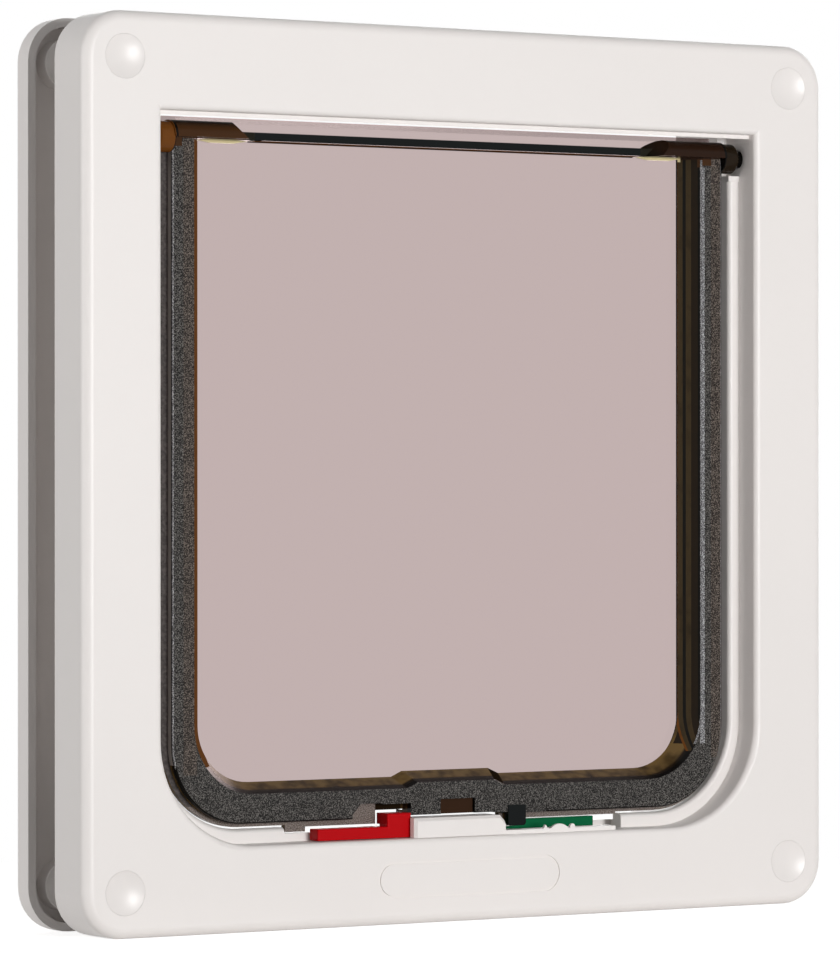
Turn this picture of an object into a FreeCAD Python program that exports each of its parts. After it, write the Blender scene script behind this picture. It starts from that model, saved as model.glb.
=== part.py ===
import FreeCAD, Part
import math
import os

import Sketcher

# Cat flap with four-way lock. Millimetres, +X right, +Y outdoors, +Z up.
# The origin is at the bottom centre of the two frames. Depths are measured from the room-side face.

V = FreeCAD.Vector

# OVERRUN is how far a cut runs past the material that it clears, BITE how far an added piece
# reaches into what carries it, and SLACK how near an edge lies to the place where it is looked for
OVERRUN = 1.0
BITE = 0.5
SLACK = 0.02

# Round ends keep this share of their half height as radius, so that a hair of straight side is left
ROUND_END = 0.998

# The dished caps keep this share of a full sphere's radius, so that the arc ends just inside the rim
DISH_SHARE = 0.97

doc = FreeCAD.newDocument("cat_flap")
sheet = doc.addObject("Spreadsheet::Sheet", "sizes")

SIZES = {
    # Frames
    "frame_width": 240.0,
    "frame_height": 244.0,
    "frame_corner": 12.0,
    "frame_edge": 2.8,
    "inner_depth": 16.2,
    "door_gap": 14.8,
    "outer_depth": 8.0,
    "wall": 2.3,
    "face": 2.6,
    "rib": 1.6,
    "rib_drop": 4.0,
    "outer_rib_drop": 0.8,
    "outer_boss_drop": 0.2,
    # Mouth of the room-side frame and the stepped ledge behind it
    "side_border": 23.5,
    "mouth_low": 23.2,
    "top_border": 25.7,
    "mouth_corner": 28.5,
    "mouth_edge": 1.6,
    "lip_depth": 3.3,
    "lip_drop": 1.1,
    "lip_reach": 3.9,
    "ledge_depth": 8.4,
    "ledge_wall": 4.0,
    "ledge_side": 3.3,
    "ledge_rise": 3.9,
    "ledge_edge": 1.4,
    "shelf_drop": 6.4,
    "shelf_wall": 1.6,
    "shelf_reach": 0.4,
    "shelf_front": 0.4,
    # Tunnel liners, one sliding in the other
    "liner_wall": 2.0,
    "liner_fit": 0.4,
    "liner_length": 30.2,
    "sleeve_length": 19.8,
    "floor_rise": 1.8,
    "roof_rise": 1.9,
    # Hinge
    "hinge_depth": 9.0,
    "hinge_drop": 6.6,
    "barrel_radius": 4.6,
    "barrel_gap": 0.6,
    "barrel_end_gap": 2.0,
    "pin_radius": 2.4,
    "pin_fit": 0.3,
    "pin_end_gap": 0.3,
    "barrel_end": 5.0,
    "barrel_end_radius": 4.2,
    "barrel_end_edge": 0.7,
    "hood_length": 26.8,
    "nose_sweep": 4.7,
    "nose_slant": 5.4,
    "hood_wall": 1.5,
    "hood_tip_wall": 4.8,
    "hood_end_wall": 6.1,
    "hollow_nose": 5.0,
    "hood_back": 0.9,
    "hood_back_drop": 0.9,
    "hood_back_slant": 4.0,
    # Flap
    "side_gap": 1.6,
    "foot_gap": 0.5,
    "sheet_depth": 12.9,
    "sheet_wall": 1.8,
    "sheet_gap": 0.7,
    "sheet_bevel": 1.3,
    "rim_depth": 7.0,
    "rim_flange": 2.1,
    "flange_depth": 9.8,
    "flange_gap": 0.4,
    "rim_foot": 1.0,
    "rim_side": 6.6,
    "rim_rise": 7.9,
    "rim_slope_side": 4.4,
    "rim_slope_rise": 2.9,
    "rim_edge": 0.5,
    "window_corner": 15.5,
    "window_drop": 0.2,
    "corner_flare": 3.0,
    "corner_close": 1.0,
    "head_lap": 2.0,
    "channel_wall": 1.8,
    "slope_wall": 2.25,
    "top_rib_wall": 2.3,
    "top_rib_depth": 9.0,
    # Magnet boss of the flap
    "boss_half": 14.1,
    "boss_slant": 3.4,
    "boss_rise": 1.5,
    "boss_flare": 1.6,
    "magnet_length": 10.4,
    "magnet_width": 2.6,
    "magnet_height": 3.4,
    "magnet_fit": 0.15,
    "magnet_centre": 0.5,
    "magnet_floor": 0.7,
    "magnet_cover": 0.7,
    "sill_magnet_gap": 0.3,
    "boss_recess": 1.2,
    "boss_recess_side": 0.4,
    # Lock
    "lock_left": 54.2,
    "lock_right": 55.8,
    "tray_depth": 16.4,
    "tray_wall": 1.8,
    "skirt_end_gap": 1.0,
    "lug_low": 25.7,
    "slide_gap": 0.5,
    "slide_fit": 0.2,
    "red_depth": 3.9,
    "red_width": 4.2,
    "red_left": 46.3,
    "red_right": 8.0,
    "bar_height": 3.1,
    "tooth_left": 24.2,
    "tooth_width": 7.6,
    "tooth_height": 6.6,
    "tooth_gap": 0.3,
    "red_travel": 8.6,
    "slider_edge": 0.4,
    "notch_rise": 9.2,
    "notch_right_gap": 1.9,
    "web_wall": 1.6,
    "web_gap": 0.6,
    "web_lap": 1.5,
    "recess_slant": 2.6,
    "recess_rise": 0.3,
    "recess_end_gap": 0.6,
    "divider_depth": 9.0,
    "divider_wall": 1.9,
    "divider_rise": 2.2,
    "divider_right": 18.6,
    "green_depth": 12.8,
    "green_width": 3.0,
    "green_left": 7.3,
    "green_right": 49.3,
    "green_step": 1.2,
    "block_width": 7.9,
    "block_height": 4.7,
    "green_travel": 8.0,
    "tab_pass_gap": 1.5,
    "tab_left": 17.0,
    "tab_width": 5.8,
    "tab_low": 25.1,
    "tab_high": 30.7,
    "tab_edge": 0.9,
    "tab_proud": 0.2,
    "foot_rise": 3.5,
    "dent_length": 7.2,
    "dent_depth": 0.4,
    "sill_step": 1.1,
    "sill_front": 1.6,
    "sill_depth": 4.4,
    "step_gap": 0.3,
    "mark_left": 24.8,
    "mark_rise": 1.1,
    "mark_depth": 0.8,
    "mark_gap": 0.6,
    "peak_width": 2.2,
    "bow_width": 5.9,
    "pip_width": 1.6,
    "cover_left": 17.2,
    "cover_right": 12.2,
    "cover_depth": 0.8,
    "cover_face": 2.6,
    "cover_roof_depth": 9.2,
    "cover_height": 5.4,
    "cover_wall": 1.6,
    "cover_roof_left": 15.4,
    "cover_slant": 1.5,
    "cover_bevel": 0.8,
    "cover_leg": 6.9,
    "cover_fit": 0.05,
    # Screws and caps
    "screw_inset": 12.2,
    "boss_radius": 6.8,
    "screw_radius": 2.0,
    "screw_fit": 0.2,
    "thread_fit": 0.05,
    "head_radius": 3.7,
    "head_height": 2.4,
    "head_seat": 5.6,
    "head_fit": 0.3,
    "head_bevel": 0.8,
    "screw_length": 30.6,
    "point_length": 2.0,
    "point_radius": 0.4,
    "pilot_end_gap": 0.4,
    "drive_width": 1.2,
    "drive_depth": 1.3,
    "cap_radius": 5.9,
    "cap_fit": 0.05,
    "cap_wall": 1.9,
    "cap_dish": 1.1,
    "cap_seat_gap": 0.05,
    "cap_stem": 0.9,
    "cap_stem_radius": 3.4,
    "cap_stem_wall": 1.0,
    # Bare name panel
    "panel_length": 59.0,
    "panel_height": 10.0,
    "panel_centre": 12.2,
    "panel_line": 0.7,
    "panel_groove": 0.35,
}

for row, (alias, number) in enumerate(SIZES.items(), start=1):
    sheet.set(f"A{row}", alias.replace("_", " "))
    sheet.set(f"B{row}", str(number))
    sheet.setAlias(f"B{row}", alias)
doc.recompute()


class Size:
    """A length together with the sheet expression that gives it."""

    def __init__(self, text, value):
        self.text = text
        self.value = value

    def __add__(self, other):
        other = size(other)
        return Size(f"({self.text} + {other.text})", self.value + other.value)

    def __sub__(self, other):
        other = size(other)
        return Size(f"({self.text} - {other.text})", self.value - other.value)

    def __radd__(self, other):
        return size(other) + self

    def __rsub__(self, other):
        return size(other) - self

    def __mul__(self, other):
        other = size(other)
        return Size(f"({self.text} * {other.text})", self.value * other.value)

    def __truediv__(self, other):
        other = size(other)
        return Size(f"({self.text} / {other.text})", self.value / other.value)

    def __neg__(self):
        return Size(f"(-1 * {self.text})", -self.value)


def size(thing):
    """The Size of a sheet alias or of a plain number."""
    if isinstance(thing, Size):
        return thing
    if isinstance(thing, str):
        return Size(f"sizes.{thing}", float(sheet.get(thing)))
    return Size(f"({thing})", float(thing))


# Values shared by pieces that fit each other
half_width = size("frame_width") / 2
total_depth = size("inner_depth") + "door_gap" + "outer_depth"
mouth_half = half_width - "side_border"
mouth_high = size("frame_height") - "top_border"
hinge_height = mouth_high - "hinge_drop"
shelf_height = hinge_height - "shelf_drop"
sheet_top = mouth_high - "sheet_gap"
flange_top = hinge_height - "flange_gap"
ledge_half = mouth_half - "ledge_side"
ledge_low = size("mouth_low") + "ledge_rise"
ledge_corner = size("mouth_corner") - "ledge_side"
ledge_back = size("ledge_depth") + "ledge_wall"
floor_height = size("mouth_low") + "floor_rise"
roof_height = mouth_high + "roof_rise"
liner_half = ledge_half + "liner_wall"
liner_low = floor_height - "liner_wall"
liner_corner = ledge_corner + "liner_wall"
liner_top = roof_height + "liner_wall"
sleeve_half = liner_half + "liner_fit"
sleeve_low = liner_low - "liner_fit"
sleeve_top = liner_top + "liner_fit"
sleeve_corner = liner_corner + "liner_fit"
collar_half = mouth_half + "liner_wall"
collar_low = size("mouth_low") - "liner_wall"
collar_corner = size("mouth_corner") + "liner_wall"
screw_x = half_width - "screw_inset"
screw_low = size("screw_inset")
screw_high = size("frame_height") - "screw_inset"
outer_front = size("inner_depth") + "door_gap"
bar_low = size("mouth_low") + "slide_fit"
bar_top = bar_low + "bar_height"
skirt_low = bar_top + "slide_gap"
flap_half = ledge_half - "side_gap"
flap_low = ledge_low + "foot_gap"
flap_corner = ledge_corner - "side_gap"
flange_back = size("flange_depth") + "channel_wall"
rim_half = flap_half - "rim_flange"
rim_low = flap_low + "rim_foot"
rim_corner = flap_corner - "rim_flange"
sheet_back = size("sheet_depth") + "sheet_wall"
window_top = hinge_height - "window_drop"
cover_top = size("mouth_low") + "cover_height"
cover_notch = cover_top + "slide_gap"
barrel_half = mouth_half - "barrel_end_gap"
pin_end = collar_half - "pin_end_gap"
tooth_left = -size("tooth_left")
tooth_right = tooth_left + "tooth_width"
notch_left = tooth_left - "tooth_gap"
notch_right = tooth_right + "notch_right_gap"
notch_top = size("mouth_low") + "notch_rise"
recess_left = tooth_left - "red_travel" - "recess_end_gap"
magnet_left = size("magnet_centre") - size("magnet_length") / 2
magnet_right = size("magnet_centre") + size("magnet_length") / 2
magnet_seat = cover_notch + "magnet_floor"
magnet_front = size("rim_depth") + "boss_recess" + "magnet_cover" + "magnet_fit"


def body_of(label):
    """A new PartDesign body that is one sub-part."""
    body = doc.addObject("PartDesign::Body", label)
    body.Label = label
    return body


def origin_plane(body, role):
    """The body's own origin plane with this role."""
    for feature in body.Origin.OriginFeatures:
        if feature.Role == role:
            return feature
    raise RuntimeError(f"{body.Label} has no {role}")


def sketch_at_depth(body, name, depth):
    """A sketch in X and Z that lies at a depth behind the room-side face."""
    sketch = body.newObject("Sketcher::SketchObject", name)
    sketch.AttachmentSupport = [(origin_plane(body, "XZ_Plane"), "")]
    sketch.MapMode = "FlatFace"
    offset = total_depth / 2 - depth
    sketch.AttachmentOffset = FreeCAD.Placement(V(0, 0, offset.value), FreeCAD.Rotation())
    sketch.setExpression(".AttachmentOffset.Base.z", offset.text)
    return sketch


def sketch_on_axis(body, name, centre_x, depth, height):
    """A sketch in X and Y whose own axes cross at a point given by x, depth and height."""
    sketch = body.newObject("Sketcher::SketchObject", name)
    sketch.AttachmentSupport = [(origin_plane(body, "XY_Plane"), "")]
    sketch.MapMode = "FlatFace"
    centre_x = size(centre_x)
    centre_y = size(depth) - total_depth / 2
    height = size(height)
    base = V(centre_x.value, centre_y.value, height.value)
    sketch.AttachmentOffset = FreeCAD.Placement(base, FreeCAD.Rotation())
    sketch.setExpression(".AttachmentOffset.Base.x", centre_x.text)
    sketch.setExpression(".AttachmentOffset.Base.y", centre_y.text)
    sketch.setExpression(".AttachmentOffset.Base.z", height.text)
    return sketch


def tie(sketch, kind, *args):
    """Add a constraint and, when its last argument is a Size, bind it to the sheet."""
    if isinstance(args[-1], Size):
        index = sketch.addConstraint(Sketcher.Constraint(kind, *args[:-1], args[-1].value))
        sketch.setExpression(f"Constraints[{index}]", args[-1].text)
        return index
    return sketch.addConstraint(Sketcher.Constraint(kind, *args))


def tie_point(sketch, geometry, position, x, z):
    """Hold a point of the sketch at x, z from the sketch's own origin."""
    tie(sketch, "DistanceX", -1, 1, geometry, position, x)
    tie(sketch, "DistanceY", -1, 1, geometry, position, z)


def outline(sketch, corners):
    """A closed outline through corners (x, z) or (x, z, radius), each tied to the sheet."""
    spec = []
    for corner in corners:
        radius = size(corner[2]) if len(corner) == 3 else None
        spec.append((size(corner[0]), size(corner[1]), radius))
    points = [V(x.value, z.value, 0) for x, z, radius in spec]
    count = len(points)
    ends = []
    for i, (x, z, radius) in enumerate(spec):
        here = points[i]
        if radius is None:
            ends.append((here, here, None))
            continue
        before = (points[i - 1] - here).normalize()
        after = (points[(i + 1) % count] - here).normalize()
        half_angle = math.acos(max(-1.0, min(1.0, before.dot(after)))) / 2
        reach = radius.value / math.tan(half_angle)
        centre = here + (before + after).normalize() * (radius.value / math.sin(half_angle))
        ends.append((here + before * reach, here + after * reach, centre))
    lines = []
    for i in range(count):
        start = ends[i][1]
        stop = ends[(i + 1) % count][0]
        lines.append(sketch.addGeometry(Part.LineSegment(start, stop), False))
    for i, (x, z, radius) in enumerate(spec):
        line_in = lines[i - 1]
        line_out = lines[i]
        if radius is None:
            tie(sketch, "Coincident", line_in, 2, line_out, 1)
            tie_point(sketch, line_out, 1, x, z)
            continue
        enter, leave, centre = ends[i]
        turns_left = (enter - centre).cross(leave - centre).z > 0
        first, last = (enter, leave) if turns_left else (leave, enter)
        angles = [math.atan2(p.y - centre.y, p.x - centre.x) for p in (first, last)]
        circle = Part.Circle(centre, V(0, 0, 1), radius.value)
        arc = sketch.addGeometry(Part.ArcOfCircle(circle, angles[0], angles[1]), False)
        corner_point = sketch.addGeometry(Part.Point(points[i]), True)
        tie(sketch, "Tangent", line_in, 2, arc, 1 if turns_left else 2)
        tie(sketch, "Tangent", line_out, 1, arc, 2 if turns_left else 1)
        tie(sketch, "PointOnObject", corner_point, 1, line_in)
        tie(sketch, "PointOnObject", corner_point, 1, line_out)
        tie_point(sketch, corner_point, 1, x, z)
        tie(sketch, "Radius", arc, radius)


def box_outline(sketch, left, right, low, high):
    """A rectangle given by its four sides."""
    outline(sketch, [(left, low), (right, low), (right, high), (left, high)])


def arch(half, low, high, low_corner, high_corner=None):
    """Corners of a symmetric outline with round lower corners and square or round upper ones."""
    top_right = (half, high) if high_corner is None else (half, high, high_corner)
    top_left = (-half, high) if high_corner is None else (-half, high, high_corner)
    return [(-half, low, low_corner), (half, low, low_corner), top_right, top_left]


def circle(sketch, x, z, radius):
    """A full circle tied to the sheet."""
    x, z, radius = size(x), size(z), size(radius)
    index = sketch.addGeometry(Part.Circle(V(x.value, z.value, 0), V(0, 0, 1), radius.value), False)
    if abs(x.value) < 1e-9 and abs(z.value) < 1e-9:
        tie(sketch, "Coincident", -1, 1, index, 3)
    else:
        tie_point(sketch, index, 3, x, z)
    tie(sketch, "Radius", index, radius)


def settle(feature):
    """Recompute, and stop at a feature that fails."""
    doc.recompute()
    if feature.Shape.isNull() or "Invalid" in feature.State:
        raise RuntimeError(f"{feature.Name}: {feature.State} {feature.getStatusString()}")
    return feature


def pad(body, sketch, length):
    """Add material from the sketch towards the outdoor side."""
    length = size(length)
    feature = body.newObject("PartDesign::Pad", sketch.Name + "_pad")
    feature.Profile = sketch
    feature.Length = length.value
    feature.setExpression("Length", length.text)
    feature.Reversed = True
    sketch.Visibility = False
    return settle(feature)


def pocket(body, sketch, length):
    """Cut from the sketch towards the outdoor side, and make sure that something was cut."""
    before = body.Tip.Shape.Volume
    length = size(length)
    feature = body.newObject("PartDesign::Pocket", sketch.Name + "_pocket")
    feature.Profile = sketch
    feature.Length = length.value
    feature.setExpression("Length", length.text)
    doc.recompute()
    if feature.Shape.Volume >= before - 1e-6:
        raise RuntimeError(f"{feature.Name} cuts nothing")
    return feature


def loft_cut(body, front, back):
    """Cut the tapered space between two outlines."""
    feature = body.newObject("PartDesign::SubtractiveLoft", front.Name + "_loft")
    feature.Profile = front
    feature.Sections = [back]
    feature.Ruled = True
    return settle(feature)


def loft_add(body, front, back):
    """Add the tapered solid between two outlines."""
    feature = body.newObject("PartDesign::AdditiveLoft", front.Name + "_loft")
    feature.Profile = front
    feature.Sections = [back]
    feature.Ruled = True
    return settle(feature)


def revolve(body, sketch, axis, cut=False, angle=360.0):
    """Turn a half profile about one of the sketch's own axes, from the sketch's plane."""
    kind = "PartDesign::Groove" if cut else "PartDesign::Revolution"
    feature = body.newObject(kind, sketch.Name + "_turn")
    feature.Profile = sketch
    feature.ReferenceAxis = (sketch, [axis])
    feature.Angle = angle
    return settle(feature)


def round_edges(body, name, radius, wanted):
    """Fillet the edges of the body's last feature that the test picks."""
    base = body.Tip
    names = [f"Edge{i}" for i, edge in enumerate(base.Shape.Edges, start=1) if wanted(edge)]
    if not names:
        raise RuntimeError(f"{name} finds no edge")
    feature = body.newObject("PartDesign::Fillet", name)
    feature.Base = (base, names)
    radius = size(radius)
    feature.Radius = radius.value
    feature.setExpression("Radius", radius.text)
    return settle(feature)


def bevel_edges(body, name, width, wanted):
    """Chamfer the edges of the body's last feature that the test picks."""
    base = body.Tip
    names = [f"Edge{i}" for i, edge in enumerate(base.Shape.Edges, start=1) if wanted(edge)]
    feature = body.newObject("PartDesign::Chamfer", name)
    feature.Base = (base, names)
    width = size(width)
    feature.Size = width.value
    feature.setExpression("Size", width.text)
    return settle(feature)


def depth_y(depth):
    """The model's Y of a depth behind the room-side face."""
    return size(depth).value - total_depth.value / 2


def edge_at_depth(depth, test):
    """An edge test: all of the edge lies at this depth, and its box passes the other test."""
    level = depth_y(depth)

    def wanted(edge):
        box = edge.BoundBox
        flat = abs(box.YMin - level) < 0.01 and abs(box.YMax - level) < 0.01
        return flat and test(box)

    return wanted


def within(half):
    """A box test: the edge stays inside a half width on both sides of the middle."""
    def test(box):
        return max(abs(box.XMin), abs(box.XMax)) < half.value + SLACK

    return test


def screw_places():
    """The four screw centres as x and z."""
    return [(-screw_x, screw_high), (screw_x, screw_high), (-screw_x, screw_low), (screw_x, screw_low)]


def ribs(sketch, collar, collar_low, collar_top, at_sides):
    """Stiffening ribs between the collar and the outer wall, three above and below, and to each side."""
    inner_wall = half_width - size("wall") / 2
    low_wall = size("wall") / 2
    top_wall = size("frame_height") - size("wall") / 2
    half_rib = size("rib") / 2
    for step in (-1, 0, 1):
        height = size("frame_height") * (2 + step) / 4
        if at_sides:
            box_outline(sketch, collar, inner_wall, height - half_rib, height + half_rib)
            box_outline(sketch, -inner_wall, -collar, height - half_rib, height + half_rib)
        place = size("frame_width") * step / 4
        box_outline(sketch, place - half_rib, place + half_rib, low_wall, collar_low)
        box_outline(sketch, place - half_rib, place + half_rib, collar_top, top_wall)


def sketch_across(body, name, start_x):
    """A sketch in Y and Z that lies at an x; its first coordinate is the model's Y."""
    sketch = body.newObject("Sketcher::SketchObject", name)
    sketch.AttachmentSupport = [(origin_plane(body, "YZ_Plane"), "")]
    sketch.MapMode = "FlatFace"
    start_x = size(start_x)
    sketch.AttachmentOffset = FreeCAD.Placement(V(0, 0, start_x.value), FreeCAD.Rotation())
    sketch.setExpression(".AttachmentOffset.Base.z", start_x.text)
    return sketch


def block(body, name, left, right, low, high, front, back, cut=False):
    """A plain block of material, or a block-shaped cut, between two depths."""
    sketch = sketch_at_depth(body, name, size(front))
    box_outline(sketch, left, right, low, high)
    length = size(back) - front
    return pocket(body, sketch, length) if cut else pad(body, sketch, length)


def plate(body, name, corners, front, back, cut=False):
    """Material, or a cut, with a free outline between two depths."""
    sketch = sketch_at_depth(body, name, size(front))
    outline(sketch, corners)
    length = size(back) - front
    return pocket(body, sketch, length) if cut else pad(body, sketch, length)


def discs(body, name, radius, front, back, cut=False):
    """Four round bosses or bores at the screw places."""
    sketch = sketch_at_depth(body, name, size(front))
    for x, z in screw_places():
        circle(sketch, x, z, radius)
    length = size(back) - front
    return pocket(body, sketch, length) if cut else pad(body, sketch, length)


def frame_outline(inset=0.0):
    """The frames' outer outline, moved in by the inset."""
    inset = size(inset)
    half = half_width - inset
    corner = size("frame_corner") - inset
    return arch(half, inset, size("frame_height") - inset, corner, corner)


def stadium(sketch, half_length, centre, radius):
    """A bar with round ends."""
    corner = radius * ROUND_END
    outline(sketch, [
        (-half_length, centre - radius, corner), (half_length, centre - radius, corner),
        (half_length, centre + radius, corner), (-half_length, centre + radius, corner),
    ])


def make_inner_frame():
    """The room-side frame with the mouth, the ledge, the lock sill and half of the liner."""
    body = body_of("inner_frame")
    back = size("inner_depth")
    plate(body, "inner_shell", frame_outline(), 0.0, back)
    round_edges(body, "inner_front_edge", "frame_edge", edge_at_depth(0.0, within(half_width)))
    plate(body, "inner_hollow", frame_outline("wall"), "face", back, cut=True)
    plate(body, "inner_collar", arch(collar_half, collar_low, liner_top, collar_corner),
          size("face") / 2, back)
    plate(body, "inner_liner", arch(liner_half, liner_low, liner_top, liner_corner),
          ledge_back, "liner_length")
    tray_left = -(size("lock_left") + "liner_wall")
    tray_right = size("green_right") + "green_travel" + "slide_gap" + "liner_wall"
    tray_back = size("tray_depth") + "tray_wall"
    block(body, "inner_tray", tray_left, tray_right, collar_low, floor_height, ledge_back, tray_back)
    sketch = sketch_at_depth(body, "inner_ribs", size("face") / 2)
    ribs(sketch, mouth_half + size("liner_wall") / 2, size("mouth_low") - size("liner_wall") / 2,
         roof_height + size("liner_wall") / 2, True)
    pad(body, sketch, back - "rib_drop" - size("face") / 2)
    discs(body, "inner_boss", "boss_radius", size("face") / 2, back)
    mouth = arch(mouth_half, "mouth_low", mouth_high, "mouth_corner")
    plate(body, "inner_mouth", mouth, 0.0, "ledge_depth", cut=True)
    round_edges(body, "inner_mouth_edge", "mouth_edge", edge_at_depth(0.0, within(mouth_half)))
    block(body, "inner_roof", -mouth_half, mouth_half, mouth_high - OVERRUN, roof_height,
          "lip_depth", "ledge_depth", cut=True)
    ledge = arch(ledge_half, ledge_low, roof_height, ledge_corner)
    plate(body, "inner_ledge", ledge, "ledge_depth", ledge_back, cut=True)
    tunnel = arch(ledge_half, floor_height, roof_height, ledge_corner)
    plate(body, "inner_tunnel", tunnel, ledge_back, "liner_length", cut=True)
    in_ledge = within(ledge_half)
    inner_rim = edge_at_depth("ledge_depth", lambda box: in_ledge(box) and box.ZMax < roof_height.value + SLACK
                              and ledge_low.value - SLACK < box.ZMin < roof_height.value - SLACK)
    round_edges(body, "inner_ledge_edge", "ledge_edge", inner_rim)
    shelf_top = shelf_height + "shelf_wall"
    barrel_back = size("hinge_depth") + "barrel_radius" + "barrel_gap"
    for side, name in ((-1, "left"), (1, "right")):
        block(body, f"inner_pocket_{name}", *sorted_sides(side, ledge_half - OVERRUN, mouth_half),
              shelf_top, roof_height, size("ledge_depth") - OVERRUN, barrel_back, cut=True)
        block(body, f"inner_shelf_{name}",
              *sorted_sides(side, ledge_half - "shelf_reach", mouth_half + size("liner_wall") / 2),
              shelf_height, shelf_top, size("ledge_depth") - "shelf_front", ledge_back)
        sketch = sketch_on_axis(body, f"inner_bearing_{name}", 0.0, "hinge_depth", hinge_height)
        reach = size("pin_radius") + "pin_fit"
        outline(sketch, turned(side, [(mouth_half - OVERRUN, 0.0), (collar_half + OVERRUN, 0.0),
                                      (collar_half + OVERRUN, reach), (mouth_half - OVERRUN, reach)]))
        revolve(body, sketch, "H_Axis", cut=True)
    sketch = sketch_across(body, "inner_lip", -mouth_half - BITE)
    lip_y = size("lip_depth") - total_depth / 2
    lip_low = mouth_high - "lip_drop"
    outline(sketch, [(lip_y, lip_low), (lip_y + "lip_reach", roof_height),
                     (lip_y + "lip_reach", roof_height + BITE), (lip_y, roof_height + BITE)])
    feature = body.newObject("PartDesign::Pad", "inner_lip_pad")
    feature.Profile = sketch
    across = (mouth_half + BITE) * 2
    feature.Length = across.value
    feature.setExpression("Length", across.text)
    settle(feature)
    make_lock_sill(body)
    discs(body, "inner_cap_seat", size("cap_radius") + "cap_fit", 0.0, "cap_wall", cut=True)
    discs(body, "inner_head_seat", size("head_radius") + "head_fit", "cap_wall", "head_seat", cut=True)
    discs(body, "inner_screw_hole", size("screw_radius") + "screw_fit", "head_seat", back, cut=True)
    sketch = sketch_at_depth(body, "inner_panel", size(0.0))
    half = size("panel_length") / 2
    radius = size("panel_height") / 2
    stadium(sketch, half, size("panel_centre"), radius)
    stadium(sketch, half - "panel_line", size("panel_centre"), radius - "panel_line")
    pocket(body, sketch, "panel_groove")
    return body


def sorted_sides(side, near, far):
    """Left and right limits of a piece that is near..far from the middle on one side."""
    near, far = size(near), size(far)
    return (near, far) if side > 0 else (-far, -near)


def turned(side, corners):
    """Mirror an outline to the left when side is negative."""
    if side > 0:
        return corners
    return [(-size(c[0]), *c[1:]) for c in reversed(corners)]


def make_lock_sill(body):
    """Cut the lock tray into the sill and add its walls, its step and its three marks."""
    left = -size("lock_left")
    right = size("lock_right")
    block(body, "sill_gap", left, right, "mouth_low", ledge_low + OVERRUN,
          size("ledge_depth") - BITE, ledge_back + OVERRUN, cut=True)
    green_end = size("green_right") + "green_travel" + "slide_gap"
    block(body, "sill_tray", left, green_end, "mouth_low", floor_height + OVERRUN,
          ledge_back, "tray_depth", cut=True)
    block(body, "sill_divider", left, -size("divider_right"), size("mouth_low") - BITE,
          size("mouth_low") + "divider_rise", "divider_depth", size("divider_depth") + "divider_wall")
    step_top = size("mouth_low") + "sill_step"
    block(body, "sill_step", size("cover_right") + "step_gap", "green_right", size("mouth_low") - BITE,
          step_top, "sill_front", size("sill_front") + "sill_depth")
    sketch = sketch_at_depth(body, "sill_marks", size("sill_front"))
    low = step_top - BITE
    high = step_top + "mark_rise"
    peak = size("mark_left")
    peak_end = peak + "peak_width"
    outline(sketch, [(peak, low), (peak_end, low), (peak + size("peak_width") / 2, high)])
    bow = peak_end + "mark_gap"
    bow_half = size("bow_width") / 2
    bow_end = bow + "bow_width"
    bow_radius = bow_half * bow_half / (size("mark_rise") * 2)
    outline(sketch, [(bow, low), (bow_end, low), (bow_end, step_top),
                     (bow + bow_half, high + "mark_rise", bow_radius), (bow, step_top)])
    pip = bow_end + "mark_gap"
    pip_end = pip + "pip_width"
    pip_radius = size("pip_width") / 2 * ROUND_END
    outline(sketch, [(pip, low), (pip_end, low), (pip_end, high, pip_radius), (pip, high, pip_radius)])
    pad(body, sketch, "mark_depth")
    return body


def make_outer_frame():
    """The outdoor frame with the sleeve that slides over the liner."""
    body = body_of("outer_frame")
    plate(body, "outer_shell", frame_outline(), outer_front, total_depth)
    round_edges(body, "outer_back_edge", "frame_edge", edge_at_depth(total_depth, within(half_width)))
    plate(body, "outer_hollow", frame_outline("wall"), outer_front, total_depth - "face", cut=True)
    sleeve_front = total_depth - "sleeve_length"
    wall = size("liner_wall")
    plate(body, "outer_sleeve", arch(sleeve_half + wall, sleeve_low - wall, sleeve_top + wall,
                                     sleeve_corner + wall), sleeve_front, total_depth - size("face") / 2)
    sketch = sketch_at_depth(body, "outer_ribs", outer_front + "outer_rib_drop")
    ribs(sketch, sleeve_half + wall / 2, sleeve_low - wall / 2, sleeve_top + wall / 2, False)
    pad(body, sketch, size("outer_depth") - size("face") / 2 - "outer_rib_drop")
    boss_front = outer_front + "outer_boss_drop"
    discs(body, "outer_boss", "boss_radius", boss_front, total_depth - size("face") / 2)
    plate(body, "outer_mouth", arch(sleeve_half, sleeve_low, sleeve_top, sleeve_corner),
          sleeve_front, total_depth, cut=True)
    round_edges(body, "outer_mouth_edge", "mouth_edge", edge_at_depth(total_depth, within(sleeve_half)))
    screw_end = size("head_seat") + "screw_length" + "pilot_end_gap"
    discs(body, "outer_pilot", size("screw_radius") + "thread_fit", boss_front, screw_end, cut=True)
    return body


def window_outline(half, low, top, corner, boss_half, boss_low):
    """The window's outline with the magnet boss rising into its bottom edge."""
    half, boss_half = size(half), size(boss_half)
    foot = boss_half + "boss_slant"
    return [
        (-half, low, corner), (-foot, low), (-boss_half, boss_low), (boss_half, boss_low), (foot, low),
        (half, low, corner), (half, top), (-half, top),
    ]


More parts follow.
